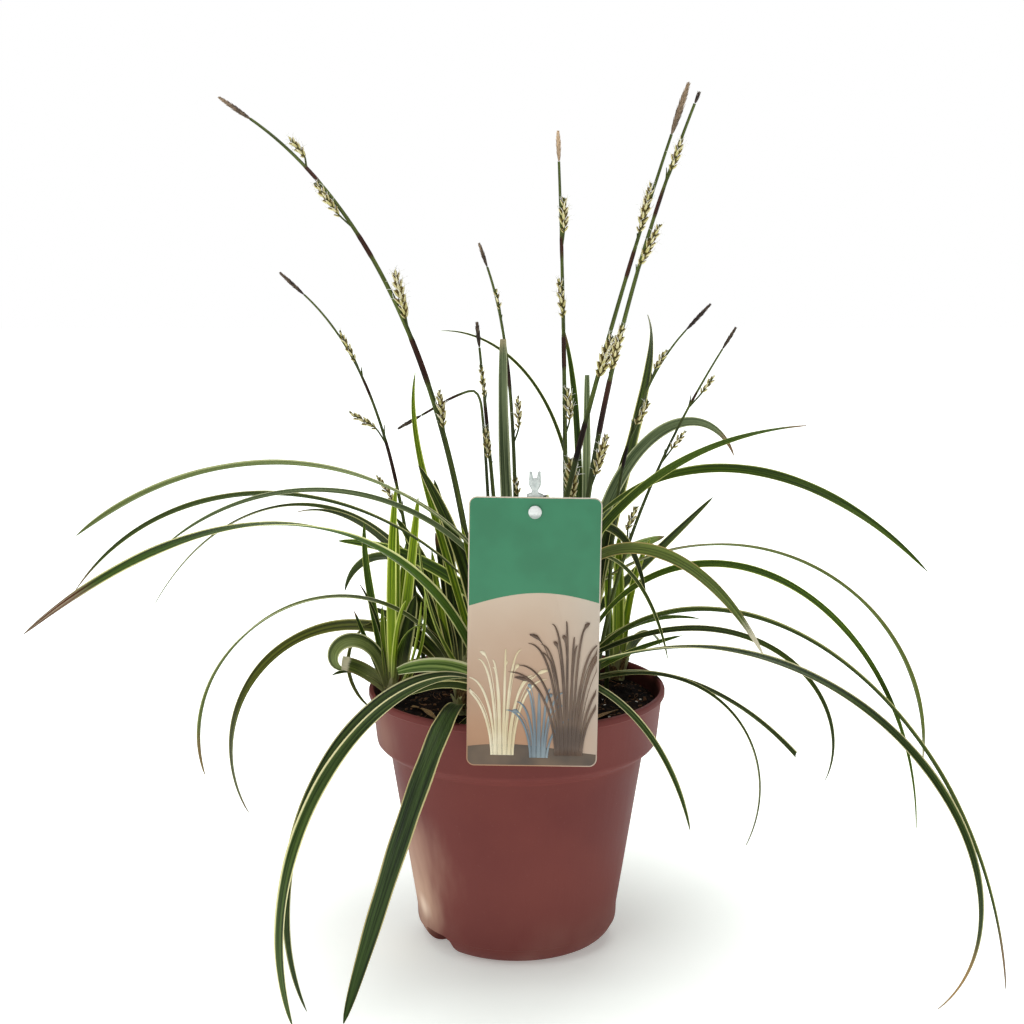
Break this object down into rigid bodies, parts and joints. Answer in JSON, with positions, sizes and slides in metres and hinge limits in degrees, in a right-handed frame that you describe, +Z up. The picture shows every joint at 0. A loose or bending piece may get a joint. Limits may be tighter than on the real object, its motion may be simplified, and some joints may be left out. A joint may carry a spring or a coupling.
{
  "type": "carex sedge in a nursery pot",
  "caption": "Carex sedge with cream-edged arching leaves and tall flowering stems in a brown nursery pot, with a plant label on a stake",
  "frame": {"origin": "middle of the pot's foot, on the surface it stands on", "axes": "+Z up, -Y to the front where the label hangs, +X to the viewer's right"},
  "size_m": [0.4138, 0.4526, 0.4033],
  "materials": {
    "pot": "thin brown-red plastic, slightly satin",
    "soil": "dark peat with bark bits and perlite",
    "leaf": "grooved sedge blades, green with cream margins",
    "stem": "green stems with pale-green scaly female spikes",
    "spike": "dry brown scales with pale edges",
    "card": "printed label card",
    "stake": "clear plastic",
    "peg": "white plastic"
  },
  "bodies": {
    "root": {"pot": "pot", "potting_soil": "soil", "plant_label": "card", "label_stake": "stake", "label_peg": "peg", "leaf_tuft_left": "leaf", "leaf_tuft_inner": "leaf", "leaf_tuft_mid": "leaf", "leaf_tuft_front": "leaf", "leaf_tuft_brim": "leaf", "leaf_tuft_centre": "leaf", "leaf_tuft_right": "leaf", "leaf_tuft_hind": "leaf", "leaf_tuft_back": "leaf", "leaf_tuft_far": "leaf", "flowering_stem_1": "stem", "male_spike_1": "spike", "flowering_stem_2": "stem", "male_spike_2": "spike", "flowering_stem_3": "stem", "male_spike_3": "spike", "flowering_stem_4": "stem", "male_spike_4": "spike", "flowering_stem_5": "stem", "male_spike_5": "spike", "flowering_stem_6": "stem", "male_spike_6": "spike", "flowering_stem_7": "stem", "male_spike_7": "spike", "flowering_stem_8": "stem", "male_spike_8": "spike", "flowering_stem_9": "stem", "male_spike_9": "spike", "flowering_stem_10": "stem", "male_spike_10": "spike"}
  },
  "joints": []
}
